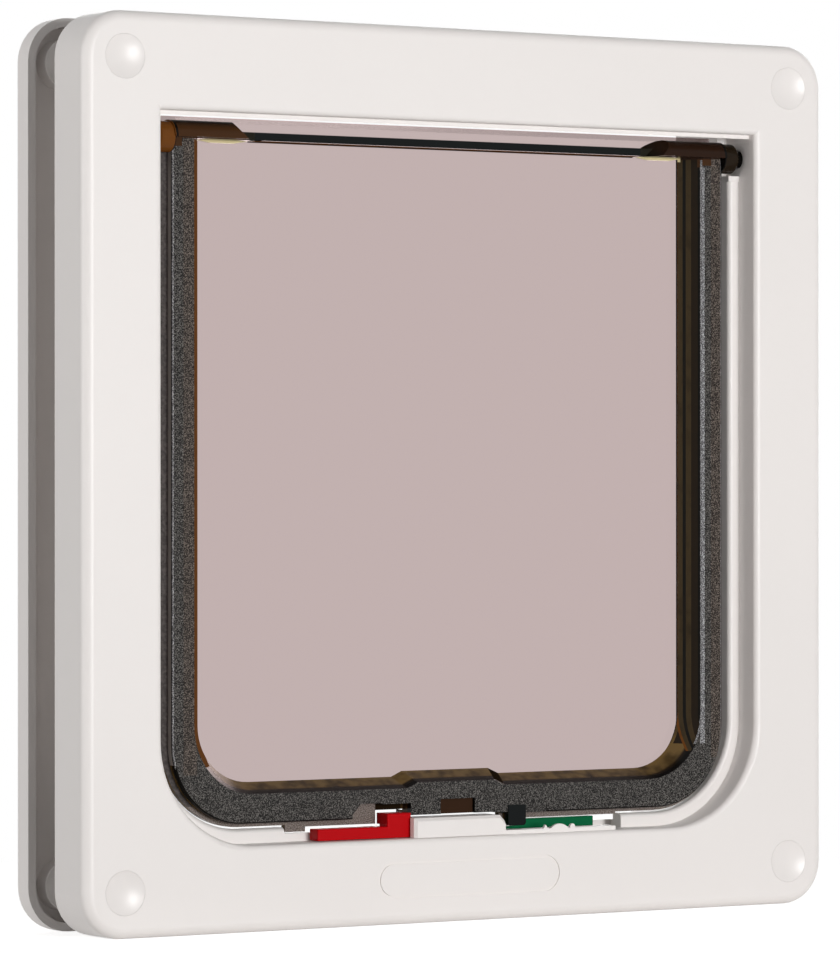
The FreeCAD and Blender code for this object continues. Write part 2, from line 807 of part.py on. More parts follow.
def make_flap():
    """The tinted flap: sheet, hollow rim, flange, hoods, top rib, boss and lock features."""
    body = body_of("flap")
    rim_front = size("rim_depth")
    plate(body, "flap_flange", arch(flap_half, flap_low, flange_top, flap_corner),
          "flange_depth", flange_back)
    plate(body, "flap_rim", arch(rim_half, rim_low, hinge_height, rim_corner), rim_front, sheet_back)
    rim_rim = edge_at_depth("rim_depth", lambda box: box.ZMin < hinge_height.value - SLACK)
    round_edges(body, "flap_rim_edge", "rim_edge", rim_rim)
    wall = size("channel_wall")
    plate(body, "flap_channel",
          arch(rim_half - wall, rim_low + wall, window_top - wall, rim_corner - wall),
          rim_front + wall, sheet_back, cut=True)
    inner_half = rim_half - "rim_side"
    inner_low = rim_low + "rim_rise"
    window_half = inner_half - "rim_slope_side"
    window_low = inner_low + "rim_slope_rise"
    grow = size("slope_wall")
    run = size("sheet_depth") - rim_front
    slope_side = size("rim_slope_side") / run
    slope_rise = size("rim_slope_rise") / run
    corner = size("window_corner")
    boss = size("boss_half")
    # The wall that slopes from the rim in to the window, first as a solid plug, then cut by the window
    start = wall / 2
    front = sketch_at_depth(body, "flap_plug_front", rim_front + start)
    x = inner_half + grow - slope_side * start
    z = inner_low - grow + slope_rise * start
    outline(front, window_outline(x, z, window_top, corner + grow, boss, z + "boss_rise"))
    end = sheet_back - rim_front
    rear = sketch_at_depth(body, "flap_plug_rear", sheet_back)
    x = inner_half + grow - slope_side * end
    z = inner_low - grow + slope_rise * end
    outline(rear, window_outline(x, z, window_top, corner + grow - "corner_close", boss, z + "boss_rise"))
    loft_add(body, front, rear)
    front = sketch_at_depth(body, "flap_window_front", rim_front - SLACK)
    outline(front, window_outline(inner_half, inner_low, window_top, corner + "corner_flare",
                                  boss - "boss_flare", inner_low + "boss_rise"))
    rear = sketch_at_depth(body, "flap_window_rear", size("sheet_depth"))
    outline(rear, window_outline(window_half, window_low, window_top, corner, boss, window_low + "boss_rise"))
    loft_cut(body, front, rear)
    block(body, "flap_head", -rim_half, rim_half, window_top - "head_lap", sheet_top,
          "sheet_depth", sheet_back)
    bevel_edge = edge_at_depth(sheet_back, lambda box: box.ZMin > sheet_top.value - SLACK)
    bevel_edges(body, "flap_head_bevel", "sheet_bevel", bevel_edge)
    make_hinge(body, window_half)
    block(body, "flap_top_rib", -rim_half, rim_half, window_top, window_top + "top_rib_wall",
          "top_rib_depth", size("sheet_depth") + BITE)
    make_lock_features(body)
    return body


def nose_outline(tip, depth):
    """What is cut off a hood's end at a depth, up to the slanted plane of its nose."""
    radius = size("barrel_radius")
    sweep = size("nose_sweep") / (size("sheet_depth") - "hinge_depth" + radius)
    slant = size("nose_slant") / radius
    foot = tip + sweep * (size("sheet_depth") - depth)
    inner = tip - OVERRUN
    low = hinge_height - BITE
    high = hinge_height + radius + BITE
    return [(inner, low), (foot - slant * BITE, low), (foot + slant * (radius + BITE), high), (inner, high)]


def make_hinge(body, window_half):
    """The pivot ends with their pins, and the hollow half-round hoods with a slanted flat nose."""
    radius = size("barrel_radius")
    hollow = radius - "hood_wall"
    end = size("barrel_end_radius")
    edge = size("barrel_end_edge")
    shoulder = barrel_half - "barrel_end"
    tip = shoulder - "hood_length"
    nose_front = size("hinge_depth") - radius - BITE
    for side, name in ((-1, "left"), (1, "right")):
        sketch = sketch_on_axis(body, f"flap_barrel_{name}", 0.0, "hinge_depth", hinge_height)
        outline(sketch, turned(side, [(shoulder, 0.0), (pin_end, 0.0), (pin_end, "pin_radius"),
                                      (barrel_half, "pin_radius"), (barrel_half, end - edge),
                                      (barrel_half - edge, end), (shoulder, end)]))
        revolve(body, sketch, "H_Axis")
        sketch = sketch_on_axis(body, f"flap_hood_{name}", 0.0, "hinge_depth", hinge_height)
        outline(sketch, turned(side, [(tip, 0.0), (shoulder + BITE, 0.0), (shoulder + BITE, radius),
                                      (tip, radius)]))
        revolve(body, sketch, "H_Axis", angle=180.0)
        front = sketch_at_depth(body, f"flap_nose_{name}_front", nose_front)
        outline(front, turned(side, nose_outline(tip, nose_front)))
        rear = sketch_at_depth(body, f"flap_nose_{name}_rear", size("sheet_depth"))
        outline(rear, turned(side, nose_outline(tip, size("sheet_depth"))))
        loft_cut(body, front, rear)
        sketch = sketch_on_axis(body, f"flap_hood_{name}_hollow", 0.0, "hinge_depth", hinge_height)
        start = tip + "hood_tip_wall"
        stop = shoulder - "hood_end_wall"
        outline(sketch, turned(side, [(start, 0.0), (stop, 0.0), (stop, hollow), (start + "hollow_nose", hollow)]))
        revolve(body, sketch, "H_Axis", cut=True, angle=180.0)
        back_low = hinge_height - "hood_back_drop"
        back_end = window_half + BITE
        slant = size("hood_back_slant")
        plate(body, f"flap_hood_back_{name}",
              turned(side, [(tip + OVERRUN, window_top), (tip + OVERRUN + slant, back_low),
                            (back_end - slant, back_low), (back_end, window_top),
                            (back_end, hinge_height + BITE), (tip + OVERRUN, hinge_height + BITE)]),
              size("sheet_depth") - "hood_back", size("sheet_depth") + BITE)


def make_lock_features(body):
    """The solid foot, skirt, boss magnet seat, notches, recess and stop tab."""
    rim_front = size("rim_depth")
    block_left = recess_left - "channel_wall"
    block_right = size("tab_left") + "tab_width"
    block(body, "flap_foot", block_left, block_right, rim_low + BITE, size("tab_high") + "foot_rise",
          rim_front + BITE, flange_back)
    skirt_left = -(size("lock_left") - "skirt_end_gap")
    skirt_right = size("lock_right") - "skirt_end_gap"
    block(body, "flap_skirt", skirt_left, skirt_right, skirt_low, rim_low + BITE,
          "flange_depth", flange_back)
    block(body, "flap_lug", skirt_left, -size("red_left") - "slide_gap", "lug_low", skirt_low + BITE,
          "flange_depth", flange_back)
    below = skirt_low - OVERRUN
    before = rim_front - OVERRUN
    cover_notch_right = size("green_left") + "block_width" + "slide_gap"
    block(body, "flap_cover_notch", notch_right - OVERRUN, cover_notch_right, below, cover_notch,
          before, sheet_back, cut=True)
    block(body, "flap_tooth_notch", notch_left, notch_right, below, notch_top, before, sheet_back, cut=True)
    web_low = bar_low + "tooth_height" + "web_gap"
    block(body, "flap_notch_web", notch_left - "web_lap", notch_right + "web_lap", web_low,
          notch_top + "web_lap", flange_back - BITE, flange_back + "web_wall")
    recess_right = notch_left + BITE
    recess_top = notch_top + "recess_rise"
    plate(body, "flap_recess", [(recess_left, below), (recess_right, below), (recess_right, recess_top),
                                (recess_left + "recess_slant", recess_top),
                                (recess_left, notch_top - "recess_slant")],
          before, "flange_depth", cut=True)
    fit = size("magnet_fit")
    recess_half = size("boss_recess_side")
    block(body, "flap_boss_recess", magnet_left - recess_half, magnet_right + recess_half,
          cover_notch - BITE, magnet_seat + "magnet_height", before,
          rim_front + "boss_recess", cut=True)
    block(body, "flap_magnet_seat", magnet_left - fit, magnet_right + fit, magnet_seat - fit,
          magnet_seat + "magnet_height" + fit, magnet_front - fit, flange_back + OVERRUN, cut=True)
    tab_left = size("tab_left")
    tab_right = tab_left + "tab_width"
    plate(body, "flap_tab", [(tab_left, "tab_low", "tab_edge"), (tab_right, "tab_low", "tab_edge"),
                             (tab_right, "tab_high"), (tab_left, "tab_high")],
          rim_front - "tab_proud", flange_back)
    block(body, "flap_dent", tab_right, tab_right + "dent_length", rim_low, "tab_high",
          before, rim_front + "dent_depth", cut=True)


def make_red_slider():
    """The red slider with its upright tooth, which is deeper than the bar."""
    body = body_of("inward_lock_slider")
    back = size("red_depth") + "red_width"
    corners = [(-size("red_left"), bar_low), (-size("red_right"), bar_low), (-size("red_right"), bar_top),
               (tooth_right, bar_top), (tooth_right, bar_low + "tooth_height"),
               (tooth_left, bar_low + "tooth_height"), (tooth_left, bar_top), (-size("red_left"), bar_top)]
    plate(body, "red_shape", corners, "red_depth", back)
    block(body, "red_tooth_back", tooth_left, tooth_right, skirt_low, bar_low + "tooth_height",
          back - BITE, size("flange_depth") - "tooth_gap")
    rim = edge_at_depth("red_depth", lambda box: box.ZMax > bar_low.value + SLACK)
    round_edges(body, "red_edge", "slider_edge", rim)
    return body


def make_green_slider():
    """The green slider with its block, and a low length that the flap's tab passes over."""
    body = body_of("outward_lock_slider")
    back = size("green_depth") + "green_width"
    left = size("green_left")
    block_right = left + "block_width"
    low_right = block_right + "green_travel" + "tab_pass_gap"
    low_top = bar_low + "green_step"
    corners = [(left, bar_low), (size("green_right"), bar_low), (size("green_right"), bar_top),
               (low_right, bar_top), (low_right, low_top), (block_right, low_top),
               (block_right, bar_low + "block_height"), (left, bar_low + "block_height")]
    plate(body, "green_shape", corners, "green_depth", back)
    rim = edge_at_depth("green_depth", lambda box: box.ZMin > bar_top.value - SLACK)
    round_edges(body, "green_edge", "slider_edge", rim)
    return body


def make_cover():
    """The bridge over the sliders: front plate, roof over the magnet and two legs."""
    body = body_of("lock_cover")
    left = -size("cover_left")
    right = size("cover_right")
    floor = size("mouth_low") + "cover_fit"
    face_back = size("cover_depth") + "cover_face"
    plate(body, "cover_front", [(left, floor), (right, floor), (right, cover_top - "cover_slant"),
                                (right - "cover_slant", cover_top), (left, cover_top)],
          "cover_depth", face_back)
    rim = edge_at_depth("cover_depth", lambda box: box.ZMin > floor.value + SLACK
                        or box.XMax < left.value + SLACK)
    bevel_edges(body, "cover_bevel_edge", "cover_bevel", rim)
    block(body, "cover_roof", -size("cover_roof_left"), right - "cover_slant", cover_top - "cover_wall",
          cover_top, face_back - BITE, "cover_roof_depth")
    block(body, "cover_right_leg", right - "cover_slant" - "cover_wall", right - "cover_slant", floor,
          cover_top - BITE, face_back - BITE, "cover_roof_depth")
    leg = -size("cover_leg")
    block(body, "cover_left_leg", leg, leg + "cover_wall", floor, cover_top - BITE,
          face_back - BITE, "cover_roof_depth")
    return body


def primitive_box(label, left, low, front, length, depth, height):
    """A plain box bound to the sheet."""
    piece = doc.addObject("Part::Box", label)
    piece.Label = label
    for name, value in (("Length", size(length)), ("Width", size(depth)), ("Height", size(height))):
        setattr(piece, name, value.value)
        piece.setExpression(name, value.text)
    corner = (size(left), size(front) - total_depth / 2, size(low))
    piece.Placement = FreeCAD.Placement(V(*[c.value for c in corner]), FreeCAD.Rotation())
    for axis, value in zip("xyz", corner):
        piece.setExpression(f".Placement.Base.{axis}", value.text)
    doc.recompute()
    return piece


def make_screw(index, x, z):
    """A long screw with a slotted pan head, its axis along the depth."""
    body = body_of(f"fixing_screw_{index}")
    sketch = sketch_on_axis(body, f"screw_{index}_profile", x, "head_seat", z)
    head = size("head_radius")
    tip = size("screw_length")
    shank = size("screw_radius")
    bevel = size("head_bevel")
    outline(sketch, [(0.0, -size("head_height")), (head - bevel, -size("head_height")),
                     (head, bevel - "head_height"), (head, 0.0), (shank, 0.0), (shank, tip - "point_length"),
                     ("point_radius", tip), (0.0, tip)])
    revolve(body, sketch, "V_Axis")
    slot = size("drive_width") / 2
    top = size("head_seat") - "head_height"
    x, z = size(x), size(z)
    block(body, f"screw_{index}_slot", x - head - OVERRUN, x + head + OVERRUN, z - slot, z + slot,
          top - OVERRUN, top + "drive_depth", cut=True)
    return body


def make_cap(index, x, z):
    """A press-in cap with a dished face and a hollow stem."""
    body = body_of(f"screw_cap_{index}")
    sketch = sketch_on_axis(body, f"cap_{index}_profile", x, 0.0, z)
    radius = size("cap_radius")
    dish = size("cap_dish")
    dish_radius = (radius * radius + dish * dish) / (dish * 2) * DISH_SHARE
    stem = size("cap_stem_radius")
    back = size("cap_wall") - "cap_seat_gap"
    hollow = stem - "cap_stem_wall"
    outline(sketch, [(0.0, dish), (radius / 2, dish, dish_radius), (radius, 0.0), (radius, back), (stem, back),
                     (stem, back + "cap_stem"), (hollow, back + "cap_stem"), (hollow, back), (0.0, back)])
    revolve(body, sketch, "V_Axis")
    return body


pieces = [make_inner_frame(), make_outer_frame(), make_flap(), make_red_slider(), make_green_slider(),
          make_cover()]
pieces.append(primitive_box("flap_magnet", magnet_left, magnet_seat, magnet_front,
                            "magnet_length", "magnet_width", "magnet_height"))
pieces.append(primitive_box("sill_magnet", magnet_left, "mouth_low", size("red_depth") + "sill_magnet_gap",
                            "magnet_length", "magnet_width", "magnet_height"))
for number, (place_x, place_z) in enumerate(screw_places(), start=1):
    pieces.append(make_screw(number, place_x, place_z))
    pieces.append(make_cap(number, place_x, place_z))
doc.recompute()

for thing in doc.Objects:
    if "Invalid" in thing.State or "Error" in thing.State:
        raise RuntimeError(f"{thing.Name}: {thing.State}")

os.makedirs("parts", exist_ok=True)
for piece in pieces:
    shape = piece.Shape
    if shape.isNull() or not shape.isValid():
        raise RuntimeError(f"{piece.Label} has no valid shape")
    shape.exportStep(f"parts/{piece.Label}.step")
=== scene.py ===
import math

import bmesh
import bpy
from bpy.props import FloatProperty, PointerProperty, StringProperty
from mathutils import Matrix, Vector


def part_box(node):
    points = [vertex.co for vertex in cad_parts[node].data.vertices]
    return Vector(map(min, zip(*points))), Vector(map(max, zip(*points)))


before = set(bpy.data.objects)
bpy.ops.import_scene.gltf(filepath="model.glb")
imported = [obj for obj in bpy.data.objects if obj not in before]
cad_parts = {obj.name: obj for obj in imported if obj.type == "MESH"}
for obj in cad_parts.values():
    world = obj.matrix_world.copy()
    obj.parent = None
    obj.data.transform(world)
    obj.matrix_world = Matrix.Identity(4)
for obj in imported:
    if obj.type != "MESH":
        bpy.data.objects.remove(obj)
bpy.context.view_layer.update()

bl_info = {
    "name": "Cat flap",
    "version": (1, 0, 0),
    "blender": (4, 5, 0),
    "location": "View3D > Sidebar > Cat flap",
    "description": "Finishes and stage for a four-way locking cat flap",
    "category": "Object",
}

MM = 0.001
WHITE = (1.0, 1.0, 1.0, 1.0)
POLYCARBONATE_IOR = 1.58
# Places on the flap in mm: the end of the uprights, the rib's underside, and the depths of its features
UPRIGHT_FOOT = 44.0
RIB_UNDERSIDE = 211.3
HOOD_TOP = 218.0
HOOD_DEPTHS = (4.0, 13.2)
PIVOT_DEPTHS = (4.0, 14.0)
SHEET_DEPTHS = (12.7, 15.0)
# How far the rim's outer side is from the middle, in mm
RIM_SIDE = (88.8, 89.7)
# The model's Y of the room-side face; depths are measured from it
FRONT_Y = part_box("inner_frame")[0].y
# Camera and lens of the photograph, from the outline and the round caps
PHOTO_EYE = Vector((-0.77907, FRONT_Y - 1.19928, 0.12027))
PHOTO_YAW = math.radians(32.46)
PHOTO_PITCH = math.radians(0.05)
PHOTO_ROLL = math.radians(0.02)
PHOTO_LENS = 224.3
PHOTO_SENSOR = 36.0


def linear(code):
    """An sRGB hex colour as linear red, green, blue and alpha."""
    channels = [int(code[i:i + 2], 16) / 255 for i in (1, 3, 5)]
    return tuple(c / 12.92 if c <= 0.04045 else ((c + 0.055) / 1.055) ** 2.4 for c in channels) + (1.0,)


def add(tree, kind, inputs=None, **settings):
    """Add a node with its settings; an input is a value, or a socket to link from."""
    node = tree.nodes.new(kind)
    for name, value in settings.items():
        setattr(node, name, value)
    for name, value in (inputs or {}).items():
        if isinstance(value, bpy.types.NodeSocket):
            tree.links.new(value, node.inputs[name])
        else:
            node.inputs[name].default_value = value
    return node


def new_material(name):
    """An empty node material and its output node."""
    material = bpy.data.materials.new(name)
    material.use_nodes = True
    material.node_tree.nodes.clear()
    return material, material.node_tree, material.node_tree.nodes.new("ShaderNodeOutputMaterial")


def object_place(tree):
    """Object coordinates, in metres."""
    return add(tree, "ShaderNodeTexCoord").outputs["Object"]


def grain(tree, place, size_mm, detail=3.0):
    """Noise whose spots are about this many millimetres across."""
    return add(tree, "ShaderNodeTexNoise", {"Vector": place, "Scale": 1.0 / (size_mm * MM), "Detail": detail})


def bump(tree, height, strength, depth_mm):
    """A bump of this depth in millimetres."""
    return add(tree, "ShaderNodeBump", {"Height": height, "Strength": strength, "Distance": depth_mm * MM})


def moulded_white_abs(name, colour, roughness):
    """White ABS from a fine-blasted steel mould: even, satin, with a soft broad highlight."""
    material, tree, out = new_material(name)
    place = object_place(tree)
    # A blasted mould leaves pits of about 0.3 mm; drawn at 0.5 mm so that they show
    pits = grain(tree, place, 0.5)
    # Flow of the melt gives a faint change of tone over about 60 mm
    flow = grain(tree, place, 60.0, 1.0)
    tone = add(tree, "ShaderNodeMapRange", {"Value": flow.outputs["Fac"], "From Min": 0.3, "From Max": 0.7,
                                            "To Min": 0.985, "To Max": 1.0})
    tint = add(tree, "ShaderNodeVectorMath", {0: linear(colour)[:3], "Scale": tone.outputs["Result"]},
               operation="SCALE")
    shader = add(tree, "ShaderNodeBsdfPrincipled", {
        "Base Color": tint.outputs["Vector"], "Roughness": roughness, "IOR": 1.54,
        "Subsurface Weight": 0.0,
        "Normal": bump(tree, pits.outputs["Fac"], 0.25, 0.02).outputs["Normal"],
    })
    tree.links.new(shader.outputs["BSDF"], out.inputs["Surface"])
    return material


def dyed_abs(name, colour, roughness):
    """Mass-dyed ABS with a polished surface, as small mouldings have."""
    material, tree, out = new_material(name)
    place = object_place(tree)
    wear = grain(tree, place, 3.0)
    rough = add(tree, "ShaderNodeMapRange", {"Value": wear.outputs["Fac"], "To Min": roughness,
                                             "To Max": roughness + 0.15})
    shader = add(tree, "ShaderNodeBsdfPrincipled", {
        "Base Color": linear(colour), "Roughness": rough.outputs["Result"], "IOR": 1.54,
        "Specular IOR Level": 0.07,
        "Normal": bump(tree, grain(tree, place, 0.4).outputs["Fac"], 0.1, 0.01).outputs["Normal"],
    })
    tree.links.new(shader.outputs["BSDF"], out.inputs["Surface"])
    return material


def between(tree, value, low, high):
    """One where the value is between two limits, else zero."""
    above = add(tree, "ShaderNodeMath", {0: value, 1: low}, operation="GREATER_THAN")
    below = add(tree, "ShaderNodeMath", {0: value, 1: high}, operation="LESS_THAN")
    return add(tree, "ShaderNodeMath", {0: above.outputs[0], 1: below.outputs[0]},
               operation="MULTIPLY").outputs[0]


def both(tree, first, second):
    """The product of two masks."""
    return add(tree, "ShaderNodeMath", {0: first, 1: second}, operation="MULTIPLY").outputs[0]


def either(tree, first, second):
    """The larger of two masks."""
    return add(tree, "ShaderNodeMath", {0: first, 1: second}, operation="MAXIMUM").outputs[0]


def layer(tree, mask, under, over):
    """One shader over another, by a mask or a plain share."""
    return add(tree, "ShaderNodeMixShader", {0: mask, 1: under, 2: over}).outputs[0]


def zone(tree, axes, **limits):
    """One inside a box, else zero; the limits are in millimetres, and d is the depth from the front."""
    mask = None
    for axis, (low, high) in limits.items():
        found = between(tree, axes[axis], low * MM, high * MM)
        mask = found if mask is None else both(tree, mask, found)
    return mask


def paint(tree, mask, under, over):
    """A colour over another, by a mask; a colour is a hex code or a socket."""
    under = linear(under) if isinstance(under, str) else under
    over = linear(over) if isinstance(over, str) else over
    return add(tree, "ShaderNodeMix", {"Factor": mask, "A": under, "B": over},
               data_type="RGBA").outputs["Result"]


def ramp(tree, value, low, high):
    """Zero at one value to one at another."""
    return add(tree, "ShaderNodeMapRange", {"Value": value, "From Min": low, "From Max": high}).outputs[0]


def flap_axes(tree, place):
    """X, its distance from the middle, the depth behind the room-side face, and the height."""
    parts = add(tree, "ShaderNodeSeparateXYZ", {"Vector": place}).outputs
    side = add(tree, "ShaderNodeMath", {0: parts["X"]}, operation="ABSOLUTE").outputs[0]
    depth = add(tree, "ShaderNodeMath", {0: parts["Y"], 1: FRONT_Y}, operation="SUBTRACT").outputs[0]
    return {"x": parts["X"], "side": side, "d": depth, "z": parts["Z"]}


def wall_colour_and_painted_light(tree, axes, place, colours):
    """What the polished walls let through: amber where they are thin, nearly black where they are thick, with
    painted glow, see-through stripes and shade on the walls, hoods and pivots.
    """
    swirl = grain(tree, place, 5.0, 2.0).outputs["Fac"]
    deep_and_shade = colours.edge_deep_and_shade
    # From the front edge back to the sheet the wall gets thinner, so black turns to brown
    colour = paint(tree, ramp(tree, axes["d"], 7.9 * MM, 8.7 * MM), deep_and_shade, colours.wall_brown_and_shade)
    # Painted light: the foot's wall is lit through the floor of the opening, so it is painted the lightest
    floor_glow = both(tree, ramp(tree, swirl, 0.25, 0.6), ramp(tree, axes["d"], 8.7 * MM, 9.3 * MM))
    foot = both(tree, zone(tree, axes, d=(8.4, 13.0), z=(0.0, 46.0)), floor_glow)
    colour = paint(tree, foot, colour, colours.amber_glow)
    # Painted light: amber patches on the thin walls next to the sheet stand in for light shining through them
    thin_glow = both(tree, zone(tree, axes, d=(12.2, 13.0)), ramp(tree, swirl, 0.35, 0.6))
    colour = paint(tree, thin_glow, colour, colours.amber_glow)
    # Painted see-through: upright light and dark stripes on the right-hand wall stand in for the hollow rim
    # behind it
    upright = zone(tree, axes, z=(UPRIGHT_FOOT, RIB_UNDERSIDE), d=(7.3, 13.0))
    for low, high, stripe in ((78.1, 78.55, colours.pivot_glow), (78.55, 79.4, colours.see_through_olive),
                              (79.4, 79.95, colours.see_through_black), (79.95, 80.9, colours.see_through_olive),
                              (80.9, 82.1, colours.wall_brown_and_shade), (82.1, 82.9, deep_and_shade)):
        band = both(tree, upright, zone(tree, axes, x=(low, high)))
        colour = paint(tree, both(tree, band, ramp(tree, swirl, 0.0, 0.5)), colour, stripe)
    # The hoods are solid brown, with an olive nose, and the left pivot end gets a painted glow
    hood = zone(tree, axes, side=(62.0, 89.5), d=HOOD_DEPTHS, z=(211.2, HOOD_TOP))
    # Painted shade: each hood darkens towards its upper rear edge, and the right one is darker as a whole
    shade = ramp(tree, axes["z"], 214.4 * MM, 216.2 * MM)
    hood_colour = paint(tree, shade, colours.hood_brown, deep_and_shade)
    hood_colour = paint(tree, ramp(tree, axes["x"], 0.0, 1.0 * MM), hood_colour, colours.hood_shaded)
    colour = paint(tree, hood, colour, hood_colour)
    nose = both(tree, zone(tree, axes, side=(60.0, 69.0), d=HOOD_DEPTHS, z=(211.2, HOOD_TOP)),
                ramp(tree, axes["side"], 68.5 * MM, 65.5 * MM))
    colour = paint(tree, nose, colour, colours.nose_olive)
    seam = zone(tree, axes, side=(89.1, 89.8), d=PIVOT_DEPTHS, z=(207.0, HOOD_TOP))
    colour = paint(tree, seam, colour, deep_and_shade)
    glow = zone(tree, axes, x=(-95.0, -89.8), d=PIVOT_DEPTHS, z=(207.0, 217.0))
    colour = paint(tree, glow, colour, colours.pivot_glow)
    right = zone(tree, axes, x=(89.8, 95.0), d=PIVOT_DEPTHS, z=(207.0, 217.0))
    colour = paint(tree, right, colour, colours.wall_brown_and_shade)
    below = either(tree, zone(tree, axes, x=(-89.6, -86.0), d=(4.0, 10.0), z=(209.0, RIB_UNDERSIDE)),
                   zone(tree, axes, x=(82.0, 86.5), d=(4.0, 10.0), z=(209.0, RIB_UNDERSIDE)))
    colour = paint(tree, below, colour, colours.hood_brown)
    # Painted light: the thin web under each hood gets a bright cream for light coming through the sheet
    sliver = zone(tree, axes, side=(63.0, 79.0), d=(11.9, 12.95), z=(210.6, 211.7))
    return paint(tree, sliver, colour, colours.sliver_glow)


def smoked_polycarbonate(name, colours):
    """Smoke-tinted polycarbonate: a clear polished sheet, amber-dark edges and a spark-eroded rim, with
    painted light and shade on its walls, edges, hoods and notch.
    """
    material, tree, out = new_material(name)
    place = object_place(tree)
    axes = flap_axes(tree, place)
    geometry = add(tree, "ShaderNodeNewGeometry")
    # The flap swings, so its faces are told apart by their own directions and not the world's
    local = add(tree, "ShaderNodeVectorTransform", {"Vector": geometry.outputs["True Normal"]},
                vector_type="NORMAL", convert_from="WORLD", convert_to="OBJECT")
    facing = add(tree, "ShaderNodeSeparateXYZ", {"Vector": local.outputs["Vector"]}).outputs
    to_room = between(tree, facing["Y"], -1.01, -0.97)
    # The clear sheet lies behind the rim, inside the rim's inner wall, and reaches up past the top rib
    window = zone(tree, axes, side=(-1.0, 79.2), d=SHEET_DEPTHS, z=(39.0, 1000.0))
    head = zone(tree, axes, d=SHEET_DEPTHS, z=(213.9, 1000.0))
    flat = add(tree, "ShaderNodeMath", {0: facing["Y"]}, operation="ABSOLUTE").outputs[0]
    clear_zone = either(tree, both(tree, window, between(tree, flat, 0.97, 1.01)), head)
    # The grain is on the rim's front, and starts raggedly below the hoods
    tab = zone(tree, axes, x=(16.9, 22.9), z=(24.0, 30.8))
    boss_recess = zone(tree, axes, x=(-9.0, 9.0), d=(7.5, 9.5), z=(26.0, 38.0))
    outer_left = zone(tree, axes, x=(-89.6, -86.6), z=(209.3, 212.0))
    inner_right = zone(tree, axes, x=(82.0, 86.0), z=(209.5, 212.0))
    smooth_top = either(tree, outer_left, inner_right)
    bare = add(tree, "ShaderNodeMath", {0: 1.0, 1: either(tree, either(tree, tab, boss_recess), smooth_top)},
               operation="SUBTRACT").outputs[0]
    rim_front = both(tree, zone(tree, axes, d=(6.9, 8.3), z=(0.0, 211.5)), bare)
    grained = both(tree, to_room, rim_front)
    # Spark erosion leaves grains of just under 0.3 mm
    spark = grain(tree, place, 0.27, 2.0).outputs["Fac"]
    dots = ramp(tree, spark, 0.47, 0.69)
    colour = paint(tree, dots, colours.rim_dark, colours.rim_speck)
    # The right-hand half of each upright is thinner and warmer
    warm = either(tree, zone(tree, axes, x=(-86.2, -82.0), z=(42.0, 212.0)),
                  zone(tree, axes, x=(85.9, 89.5), z=(42.0, 212.0)))
    warm_colour = paint(tree, dots, colours.warm_dark, colours.warm_speck)
    colour = paint(tree, warm, colour, warm_colour)
    # Painted highlight: a speckled light line along the right upright's inner front edge
    glint_band = zone(tree, axes, x=(82.2, 83.7), z=(46.0, 209.0))
    colour = paint(tree, glint_band, colour, paint(tree, dots, colours.glint_line, colours.glint_speck))
    rough_face = add(tree, "ShaderNodeBsdfPrincipled", {
        "Base Color": colour, "Roughness": 0.6, "IOR": POLYCARBONATE_IOR, "Specular IOR Level": 0.1,
        "Normal": bump(tree, spark, 0.6, 0.08).outputs["Normal"],
    }).outputs[0]
    # Painted highlights: the rim's rounded front edges catch the light as thin speckled lines
    slanted = between(tree, facing["Y"], -0.97, -0.2)
    outer_edge = zone(tree, axes, side=(88.5, 89.6), d=(6.9, 7.6), z=(0.0, 211.0))
    inner_edge = zone(tree, axes, x=(80.0, 84.0), d=(6.9, 7.5), z=(46.0, 211.0))
    glint_edge = both(tree, slanted, either(tree, outer_edge, inner_edge))
    glint_colour = paint(tree, dots, colours.glint_line, colours.glint_speck)
    # The flange and the rim's outer side are satin and mottled, and lighter along the foot
    flange = both(tree, to_room, zone(tree, axes, d=(9.4, 10.2), z=(0.0, 211.4)))
    # Painted light: the rim's outer side lies in shadow, so it is given a lighter grey than the flange
    outside = zone(tree, axes, side=RIM_SIDE, d=(7.4, 9.7), z=(0.0, 211.4))
    # Painted shade: a dark line where the rim's outer side meets its rounded front edge
    groove_shade = zone(tree, axes, side=RIM_SIDE, d=(7.4, 7.9), z=(0.0, 211.4))
    mottle = ramp(tree, grain(tree, place, 0.9, 3.0).outputs["Fac"], 0.4, 0.66)
    foot = zone(tree, axes, z=(0.0, 33.5))
    flange_colour = paint(tree, mottle, colours.flange_dark, colours.flange_light)
    foot_colour = paint(tree, ramp(tree, spark, 0.38, 0.66), colours.foot_dark, colours.foot_light)
    flange_colour = paint(tree, foot, flange_colour, foot_colour)
    flange_colour = paint(tree, outside, flange_colour, colours.outside_lit_grey)
    flange_colour = paint(tree, groove_shade, flange_colour, colours.edge_deep_and_shade)
    flange_colour = paint(tree, glint_edge, flange_colour, glint_colour)
    satin = add(tree, "ShaderNodeBsdfPrincipled", {
        "Base Color": flange_colour, "Roughness": 0.4, "IOR": POLYCARBONATE_IOR, "Specular IOR Level": 0.12,
        "Normal": bump(tree, mottle, 0.3, 0.05).outputs["Normal"],
    }).outputs[0]
    gloss = add(tree, "ShaderNodeBsdfGlossy", {"Color": WHITE, "Roughness": 0.05}).outputs[0]
    fresnel = add(tree, "ShaderNodeFresnel", {"IOR": 1.45})
    share = both(tree, fresnel.outputs[0], 0.3)
    clear = add(tree, "ShaderNodeBsdfTransparent", {"Color": linear(colours.window_tint)}).outputs[0]
    polished = layer(tree, share, clear, gloss)
    walls = add(tree, "ShaderNodeBsdfPrincipled", {
        "Base Color": wall_colour_and_painted_light(tree, axes, place, colours), "Roughness": 0.16, "IOR": POLYCARBONATE_IOR,
        "Specular IOR Level": 0.06,
    }).outputs[0]
